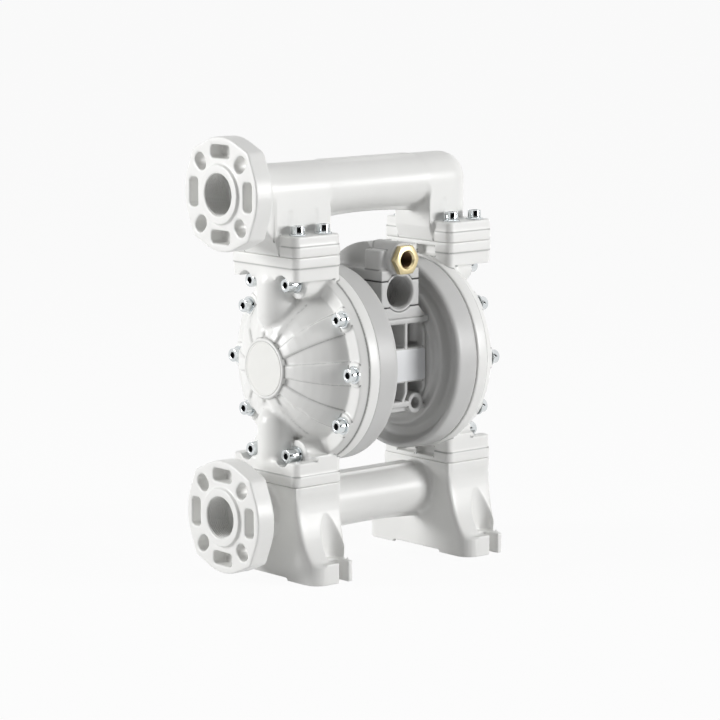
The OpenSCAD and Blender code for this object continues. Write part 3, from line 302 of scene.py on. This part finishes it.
def cast(node, grid_mm, fills, shaded_corners, reshape=None, most=190000, worn=None):
    """A moulded casting. The solid is remade on a fine grid, which rounds its edges, and each of fills,
    a number of rounds and a place, fills the inner corners there. The argument after fills says where
    the sharp inner corners get painted shade, and worn where outer edges have a large radius too."""
    piece = bpy.data.objects.new(node + "_casting", frame["nodes"][node].data.copy())
    bpy.context.collection.objects.link(piece)
    joined = bmesh.new()
    joined.from_mesh(piece.data)
    bmesh.ops.remove_doubles(joined, verts=joined.verts, dist=0.002 * MM)
    joined.to_mesh(piece.data)
    corners = inner_corners(joined)
    joined.free()
    grid = piece.modifiers.new("grid", "REMESH")
    grid.mode = "VOXEL"
    grid.voxel_size = grid_mm * MM * 1.0
    worked_in(piece)
    mesh = piece.data
    web = Web(mesh)
    points = web.relax(spots(mesh), 3, 0.5)
    for rounds, where in fills:
        put_spots(mesh, points)
        hollow = ((web.middles(points) - points) * outward(mesh)).sum(1) > 0.035 * grid_mm * MM
        inside = where(points / MM)
        reach = max(2, int(math.sqrt(rounds)))
        chosen = web.grown(hollow & inside, reach) & inside
        share = web.sums(chosen.astype(float)) / web.count * chosen
        points = web.relax(points, rounds, 0.6 * share[:, None])
    points = web.relax(points, 2, 0.4)
    if worn:
        share = worn(points / MM).astype(float)
        for _ in range(6):
            share = np.minimum(share, web.sums(share) / web.count)
        points = web.relax(points, 50, 0.6 * share[:, None])
    # Painted shade: the sharp inner corners are marked for darkening where the argument after fills allows.
    if shaded_corners:
        paint_shade_in_corners(mesh, points, corners, shaded_corners)
    if reshape:
        points = reshape(points)
    put_spots(mesh, points)
    count = sum(len(face.vertices) - 2 for face in mesh.polygons)
    if count > most:
        thin = piece.modifiers.new("thin", "DECIMATE")
        thin.ratio = most / count
        thin.use_collapse_triangulate = True
        worked_in(piece)
    piece.data.shade_smooth()
    dress(piece, "casing", slots[node], node)
    return piece


# Places on the castings, each told for points in millimetres
SHAFT_RISE = 200
BLOCK_MIDDLE = 97.5
PLATE_SCREW = (15.3, 36.2)
PLATE_TOP = 329
SEAT_CLEAR = 10.6
PORT_RISES = (369, 63)
PORT_CLEAR = 21
FLANGE_BACK = -158.5


def at_cover_blends(p):
    """The necks, the bosses beside them and the dome between, but no screw seat."""
    along = np.abs(p[:, 0])
    rise = np.abs(p[:, 2] - SHAFT_RISE)
    seat = np.hypot(np.abs(p[:, 1]) - 26.5, rise - 81.7) < SEAT_CLEAR
    return (along > 79) & (rise > 33) & (rise < 96) & (np.abs(p[:, 1]) < 44) & ~(seat & (along > 103))


def at_cover_corners(p):
    """Outside of the cover, away from screw seats and the badge."""
    along = np.abs(p[:, 0])
    turn = np.arctan2(p[:, 2] - SHAFT_RISE, p[:, 1])
    ring = np.hypot(p[:, 1], p[:, 2] - SHAFT_RISE)
    off = np.abs((turn / RIB_STEP + 0.5) % 1 - 0.5) * RIB_STEP * ring
    seat = np.hypot(off, ring - COVER_SCREW_R / MM) < 10.4
    return (along > 64) & ~seat & ~((ring < 27) & (along > 124))


def at_pipe_corners(p):
    """Columns, plates, feet and the flange's neck, but neither the flange's face nor a screw seat."""
    along = np.abs(np.abs(p[:, 0]) - BLOCK_MIDDLE) - PLATE_SCREW[0]
    seat = np.hypot(along, np.abs(p[:, 1]) - PLATE_SCREW[1]) < SEAT_CLEAR
    upper, lower = (np.hypot(p[:, 1], p[:, 2] - rise) < PORT_CLEAR for rise in PORT_RISES)
    return (p[:, 0] > FLANGE_BACK) & ~(seat & (np.abs(p[:, 2] - PLATE_TOP) < 6)) & ~(upper | lower)


def at_upper_blends(p):
    """Where the discharge columns run into the pipe, the flange and the flutes over the screws."""
    return at_pipe_corners(p) & (p[:, 2] > 332)


def at_foot_blends(p):
    """Where the feet flare and meet the suction pipe."""
    return at_pipe_corners(p) & (p[:, 2] > 21) & (p[:, 2] < 84)


def everywhere(p):
    return np.ones(len(p), bool)


def off_necks(p):
    """The cover without the filled corners beside its necks."""
    return ~(at_cover_blends(p) & (np.abs(p[:, 2] - SHAFT_RISE) > 62))


def at_plates(p):
    """The plates of the discharge manifold and the slabs on them."""
    return (p[:, 0] > -140) & (p[:, 2] < 346)


def at_foot_sides(p):
    """The upright edges of the feet that face the flanges, and the tops of the toes there."""
    off = p[:, 0] - np.where(p[:, 0] < 0, -BLOCK_MIDDLE, BLOCK_MIDDLE)
    return (off < -14) & (off > -50) & (np.abs(p[:, 1]) > 27) & (p[:, 2] > 17) & (p[:, 2] < 79)


PORT_CREST = 19.475 * MM
PORT_ROOT = 20.95 * MM
PORT_THREAD = 24 * MM
PORT_MOUTH = 1.5 * MM


def open_bore(points, line, side, along, start, length, crest, root):
    """Widens a plain bore so that a cut thread fits in it. line and side say where its axis runs."""
    ring = points[:, side] - np.array(line)
    far = np.hypot(ring[:, 0], ring[:, 1])
    deep = points[:, along] - start
    chosen = (np.abs(far - crest) < 0.9 * MM) & (deep > 0.5 * MM) & (deep < length + 0.4 * MM)
    ring[chosen] *= ((root + 0.25 * MM) / far[chosen])[:, None]
    points[:, side] = ring + np.array(line)
    return points


def open_port(port_z):
    return lambda points: open_bore(points, (0, port_z), [1, 2], 0, SEAL_FACE_X + PORT_MOUTH, PORT_THREAD,
                                    PORT_CREST, PORT_ROOT)


def open_exhaust(points):
    return open_bore(points, (0, EXHAUST_Z), [0, 2], 1, BLOCK_FRONT_Y + EXHAUST_MOUTH, EXHAUST_THREAD,
                     EXHAUST_CREST, EXHAUST_ROOT)


CAST_GRID = 0.9
# The argument after fills in each casting says where its sharp inner corners get painted shade.
for side in ("left", "right"):
    cast(side + "_cover", CAST_GRID, [(46, at_cover_blends), (2, at_cover_corners)], off_necks)
    cast(side + "_air_chamber", 1.1, [(6, everywhere)], None, most=120000)
cast("upper_manifold", CAST_GRID, [(34, at_upper_blends), (3, at_pipe_corners)], at_plates,
     open_port(DISCHARGE_Z))
cast("lower_manifold", CAST_GRID, [(30, at_foot_blends), (3, at_pipe_corners)], None,
     open_port(SUCTION_Z), worn=at_foot_sides)
cast("centre_body", 0.9, [(4, everywhere)], everywhere, most=120000)
cast("valve_base", 0.7, [(2, everywhere)], everywhere, most=60000)
cast("exhaust_block", 0.7, [(3, everywhere)], everywhere, open_exhaust, most=90000)
cast("inlet_cap", 0.7, [(24, everywhere)], everywhere, most=90000)


# Turned and threaded pieces

def shape():
    return bmesh.new()


def turned(work, profile, steps=48):
    """Turns a profile of radius and height round the upright axis and returns its points."""
    edge = [work.verts.new((r, 0, z)) for r, z in profile]
    lines = [work.edges.new(pair) for pair in zip(edge, edge[1:])]
    before = set(work.verts) - set(edge)
    bmesh.ops.spin(work, geom=edge + lines, cent=(0, 0, 0), axis=(0, 0, 1), angle=math.tau, steps=steps,
                   use_merge=True)
    fresh = [v for v in work.verts if v not in before]
    bmesh.ops.remove_doubles(work, verts=fresh, dist=0.001 * MM)
    return [v for v in work.verts if v not in before]


def hexagon(angle, across):
    """Radius at an angle of a hexagon of that width across its flats."""
    third = math.radians(60)
    return across / 2 / math.cos((angle % third) - third / 2)


def socket_screw(work, place, head_h):
    """Head of a socket screw with its key hole, standing on the place's own ground."""
    r = HEAD_R
    key = 3.3 * MM
    deep = head_h - 3.6 * MM
    points = turned(work, [(0, deep - 0.8 * MM), (key * 0.98, deep), (key, head_h - 0.25 * MM),
                           (key + 0.35 * MM, head_h), (r - 0.7 * MM, head_h),
                           (r - 0.25 * MM, head_h - 0.12 * MM), (r, head_h - 0.6 * MM), (r, 0.3 * MM),
                           (r - 0.3 * MM, 0), (3.9 * MM, 0),
                           (3.9 * MM, -WASHER_T - 2 * MM), (0, -WASHER_T - 2 * MM)])
    for v in points:
        far = math.hypot(v.co.x, v.co.y)
        if 0.5 * key < far < key + 0.1 * MM:
            grow = hexagon(math.atan2(v.co.y, v.co.x), 2 * key * 0.93) / far
            v.co.x *= grow
            v.co.y *= grow
    # The key hole's walls and floor take the second slot, the painted shade.
    inside = [v for v in points if deep - 1 * MM < v.co.z < head_h - 0.1 * MM
              and math.hypot(v.co.x, v.co.y) < 3.9 * MM]
    for face in {f for v in inside for f in v.link_faces if all(u in inside for u in f.verts)}:
        face.material_index = 1
    bmesh.ops.transform(work, matrix=place, verts=points)


def flat_washer(work, place):
    soft = 0.25 * MM
    points = turned(work, [(4.3 * MM, 0), (8.5 * MM - soft, 0), (8.5 * MM, soft), (8.5 * MM, WASHER_T - soft),
                           (8.5 * MM - soft, WASHER_T), (4.3 * MM + soft, WASHER_T), (4.3 * MM, 0)])
    bmesh.ops.transform(work, matrix=place, verts=points)


def made(name, work, body, slot_name, *replaced):
    """Turns a finished bmesh into a piece of the pump."""
    bmesh.ops.recalc_face_normals(work, faces=work.faces)
    mesh = bpy.data.meshes.new(name)
    work.to_mesh(mesh)
    work.free()
    mesh.shade_smooth()
    mesh.set_sharp_from_angle(angle=math.radians(35))
    piece = bpy.data.objects.new(name, mesh)
    bpy.context.collection.objects.link(piece)
    dress(piece, body, slot_name, *replaced)
    return piece


def stood(x, y, z, way):
    """A place on a surface that faces way."""
    return Matrix.Translation((x, y, z)) @ Vector(way).to_track_quat("Z", "Y").to_matrix().to_4x4()


for side, sign in (("left", -1), ("right", 1)):
    screws, washers = shape(), shape()
    for i in range(10):
        turn = i * RIB_STEP
        tall = abs(math.cos(turn)) < 0.5
        x = TALL_SEAT_X if tall else PAD_X
        y = -COVER_SCREW_R * math.cos(turn)
        z = AXIS_Z + COVER_SCREW_R * math.sin(turn)
        flat_washer(washers, stood(sign * x, y, z, (sign, 0, 0)))
        head_h = TALL_HEAD_H if tall else HEAD_H
        socket_screw(screws, stood(sign * (x + WASHER_T), y, z, (sign, 0, 0)), head_h)
    heads = made(side + "_cover_screw_heads", screws, "casing", "zinc_plated_steel", side + "_cover_screws")
    # Second slot: painted shade for the key holes.
    heads.data.materials.append(key_shade)
    made(side + "_cover_screw_washers", washers, "casing", "zinc_plated_steel", side + "_cover_washers")

for name, z, way in (("upper_manifold", PLATE_TOP_Z, 1), ("lower_manifold", LOW_JOINT_Z - 20 * MM, -1)):
    screws, washers = shape(), shape()
    for block in (-1, 1):
        for off in (-1, 1):
            for front in (-1, 1):
                x, y = block * BLOCK_X + off * JOINT_SCREW_X, front * JOINT_SCREW_Y
                flat_washer(washers, stood(x, y, z, (0, 0, way)))
                socket_screw(screws, stood(x, y, z + way * WASHER_T, (0, 0, way)), HEAD_H)
    heads = made(name + "_screw_heads", screws, "casing", "zinc_plated_steel", name + "_screws")
    # Second slot: painted shade for the key holes.
    heads.data.materials.append(key_shade)
    made(name + "_screw_washers", washers, "casing", "zinc_plated_steel", name + "_washers")


def cut_thread(work, place, crest, root, pitch, length, steps=48):
    """Inside of a threaded bore that runs down from its place: one groove wound round it."""
    flat = pitch * 0.16
    profile = [(root, 0), (root, flat), (crest, pitch / 2 - flat / 2), (crest, pitch / 2 + flat / 2),
               (root, pitch)]
    edge = [work.verts.new((r, 0, pitch - z)) for r, z in profile]
    lines = [work.edges.new(pair) for pair in zip(edge, edge[1:])]
    before = set(work.verts) - set(edge)
    turns = int(length / pitch) + 3
    bmesh.ops.spin(work, geom=edge + lines, cent=(0, 0, 0), axis=(0, 0, 1), dvec=(0, 0, -pitch / steps),
                   angle=math.tau * turns, steps=steps * turns)
    fresh = [v for v in work.verts if v not in before]
    bmesh.ops.remove_doubles(work, verts=fresh, dist=0.002 * MM)
    for level, keep in ((0, 1), (-length, -1)):
        part = [v for v in work.verts if v not in before]
        geom = part + [e for e in work.edges if e.verts[0] not in before] + [
            f for f in work.faces if f.verts[0] not in before]
        bmesh.ops.bisect_plane(work, geom=geom, plane_co=(0, 0, level), plane_no=(0, 0, keep),
                               clear_outer=True)
    points = [v for v in work.verts if v not in before]
    bmesh.ops.transform(work, matrix=place, verts=points)


def face_in(piece, line, way):
    """Turns the faces of a bore's lining towards its axis."""
    work = bmesh.new()
    work.from_mesh(piece.data)
    line, way = Vector(line), Vector(way).normalized()
    face = max(work.faces, key=lambda f: f.calc_area())
    arm = face.calc_center_median() - line
    arm -= way * arm.dot(way)
    if face.normal.dot(arm) > 0:
        bmesh.ops.reverse_faces(work, faces=work.faces)
    work.to_mesh(piece.data)
    work.free()
    piece.data.set_sharp_from_angle(angle=math.radians(35))


INCH_PITCH = 2.309 * MM
for name, z in (("suction", SUCTION_Z), ("discharge", DISCHARGE_Z)):
    work = shape()
    cut_thread(work, stood(SEAL_FACE_X + PORT_MOUTH, 0, z, (-1, 0, 0)), PORT_CREST, PORT_ROOT, INCH_PITCH,
               PORT_THREAD)
    lining = made(name + "_port_thread", work, "casing", "white_polypropylene")
    face_in(lining, (0, 0, z), (1, 0, 0))
work = shape()
cut_thread(work, stood(0, BLOCK_FRONT_Y + EXHAUST_MOUTH, EXHAUST_Z, (0, -1, 0)), EXHAUST_CREST, EXHAUST_ROOT,
           INCH_PITCH, EXHAUST_THREAD)
lining = made("exhaust_port_thread", work, "casing", "grey_white_polypropylene")
face_in(lining, (0, 0, EXHAUST_Z), (0, 1, 0))


def brass_fitting():
    """Hexagon bush of the air inlet, chamfered in front, with its thread."""
    thick, across, front_r, mouth = 6 * MM, 27 * MM, 12.9 * MM, 8.8 * MM
    inner = 8.6 * MM
    work = shape()
    points = turned(work, [(11 * MM, -20 * MM), (11 * MM, 0), (13 * MM, 0), (15 * MM, thick / 2),
                           (front_r, thick), (mouth + 0.3 * MM, thick), (mouth, thick - 0.3 * MM),
                           (7.475 * MM, thick - 2 * MM), (inner, thick - 2.2 * MM), (inner, -20 * MM),
                           (11 * MM, -20 * MM)], 60)
    for v in points:
        far, angle = math.hypot(v.co.x, v.co.y), math.atan2(v.co.y, v.co.x)
        if 12.95 * MM < far:
            wide = hexagon(angle, across)
            if v.co.z > 1 * MM:
                v.co.z = thick - (wide - front_r) * math.tan(math.radians(30))
            v.co.x, v.co.y = wide * math.cos(angle), wide * math.sin(angle)
    bmesh.ops.transform(work, matrix=stood(0, FITTING_Y, INLET_Z, (0, -1, 0)), verts=points)
    made("air_inlet_bush", work, "casing", "brass", "air_inlet_fitting")
    work = shape()
    mouth_y = FITTING_Y - thick + 2 * MM
    cut_thread(work, stood(0, mouth_y, INLET_Z, (0, -1, 0)), 7.475 * MM, 8.33 * MM, 1.337 * MM, 22 * MM)
    lining = made("air_inlet_thread", work, "casing", "brass")
    # The thread inside the bore takes the darker brass: painted shade.
    lining.data.materials[0] = bore_shade_brass
    face_in(lining, (0, 0, INLET_Z), (0, 1, 0))


brass_fitting()


def bare_badge(side, sign):
    """The badge's place in the hub: a plain disc with a low rim."""
    work = shape()
    back, top = -1.1 * MM, -0.05 * MM
    points = turned(work, [(0, back), (26 * MM, back), (26 * MM, top - 0.25 * MM), (25.75 * MM, top),
                           (24.6 * MM, top), (24.3 * MM, top - 0.25 * MM), (0, top - 0.25 * MM)], 96)
    bmesh.ops.transform(work, matrix=stood(sign * HUB_X, 0, AXIS_Z, (sign, 0, 0)), verts=points)
    made(side + "_bare_badge", work, "casing", "plain_badge", side + "_badge")


def bare_nameplate():
    """The nameplate's place between the windows: a thin plain plate with rounded corners."""
    low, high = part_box("nameplate")
    work = shape()
    size = high - low
    fit = Matrix.Translation((low + high) / 2) @ Matrix.Diagonal((*size, 1))
    bmesh.ops.create_cube(work, size=1.0, matrix=fit)
    upright = [e for e in work.edges if abs(e.verts[0].co.y - e.verts[1].co.y) > 0.3 * MM]
    bmesh.ops.bevel(work, geom=upright, offset=2 * MM, affect="EDGES", segments=6, profile=0.5, material=-1)
    rim = [e for e in work.edges if all(v.co.y < low.y + 0.1 * MM for v in e.verts)]
    bmesh.ops.bevel(work, geom=rim, offset=0.2 * MM, affect="EDGES", segments=2, profile=0.5, material=-1)
    made("bare_nameplate", work, "casing", "plain_plate", "nameplate")


bare_badge("left", -1)
bare_badge("right", 1)
bare_nameplate()


def studio():
    """Pale floor, even white surroundings and three soft lamps."""
    bpy.ops.mesh.primitive_circle_add(vertices=96, radius=24.0, fill_type="NGON", location=(0, 0, 0))
    floor = bpy.context.object
    floor.name = "floor"
    material, tree = new_material("pale_floor")
    rays = add(tree, "ShaderNodeLightPath")
    seen = add(tree, "ShaderNodeMath", {0: rays.outputs["Is Camera Ray"], 1: rays.outputs["Is Glossy Ray"]},
               operation="MAXIMUM")
    matt = add(tree, "ShaderNodeBsdfDiffuse", {"Color": linear("#e4e4e4")})
    white = add(tree, "ShaderNodeEmission", {"Color": linear("#ffffff"), "Strength": 1.0})
    half = add(tree, "ShaderNodeMath", {0: seen.outputs[0], 1: 0.94}, operation="MULTIPLY")
    both = add(tree, "ShaderNodeMixShader", {0: half.outputs[0], 1: matt.outputs[0], 2: white.outputs[0]})
    finish_material(tree, both)
    floor.data.materials.append(material)

    # The unlit room behind the camera, which polished metal mirrors
    work = bmesh.new()
    post = [work.verts.new((4.3, 0, z)) for z in (0.02, 2.6)]
    bmesh.ops.spin(work, geom=post + [work.edges.new(post)], cent=(0, 0, 0), axis=(0, 0, 1),
                   angle=math.radians(120), steps=30)
    turn = Matrix.Rotation(math.radians(208), 3, "Z")
    bmesh.ops.rotate(work, cent=(0, 0, 0), matrix=turn, verts=work.verts)
    mesh = bpy.data.meshes.new("dark_room")
    work.to_mesh(mesh)
    work.free()
    room = bpy.data.objects.new("dark_room", mesh)
    bpy.context.collection.objects.link(room)
    material, tree = new_material("dark_cloth")
    finish_material(tree, add(tree, "ShaderNodeBsdfDiffuse", {"Color": linear("#101010")}))
    mesh.materials.append(material)

    world = bpy.data.worlds.new("white_surroundings")
    bpy.context.scene.world = world
    world.use_nodes = True
    tree = world.node_tree
    tree.nodes.clear()
    rays = add(tree, "ShaderNodeLightPath")
    seen = add(tree, "ShaderNodeMath", {0: rays.outputs["Is Camera Ray"], 1: rays.outputs["Is Glossy Ray"]},
               operation="MAXIMUM")
    seen = add(tree, "ShaderNodeMath", {0: seen.outputs[0], 1: rays.outputs["Is Transmission Ray"]},
               operation="MAXIMUM")
    level = add(tree, "ShaderNodeMapRange", {"Value": seen.outputs[0], "To Min": 0.2, "To Max": 1.0})
    sky = add(tree, "ShaderNodeBackground", {"Color": linear("#ffffff"), "Strength": level.outputs[0]})
    out = tree.nodes.new("ShaderNodeOutputWorld")
    tree.links.new(sky.outputs[0], out.inputs["Surface"])

    for name, place, size, power in (
            ("front_lamp", (1.5, -2.5, 0.8), 1.0, 60), ("left_lamp", (-2.4, 1.4, 0.9), 1.0, 56),
            ("top_lamp", (-0.2, -0.2, 2.4), 1.2, 8)):
        light = bpy.data.lights.new(name, "AREA")
        light.shape = "SQUARE"
        light.size = size
        light.energy = power
        lamp = bpy.data.objects.new(name, light)
        lamp.location = place
        aim = Vector((0, 0, 0.2)) - Vector(place)
        lamp.rotation_euler = aim.to_track_quat("-Z", "Y").to_euler()
        bpy.context.collection.objects.link(lamp)


def photo_camera():
    """The photograph's viewpoint, found from the pump's own edges; 3088 pixels of focal length on 720."""
    data = bpy.data.cameras.new("photo_camera")
    data.sensor_width = 36.0
    data.lens = 3088.017 / 720 * 36.0
    data.clip_end = 50.0
    camera = bpy.data.objects.new("photo_camera", data)
    camera.location = (-1.952985, -2.246117, 0.652744)
    camera.rotation_euler = (math.radians(90 - 8.731), 0, -math.radians(40.939))
    bpy.context.collection.objects.link(camera)
    bpy.context.scene.camera = camera


studio()
photo_camera()
bpy.context.scene.view_settings.view_transform = "Standard"
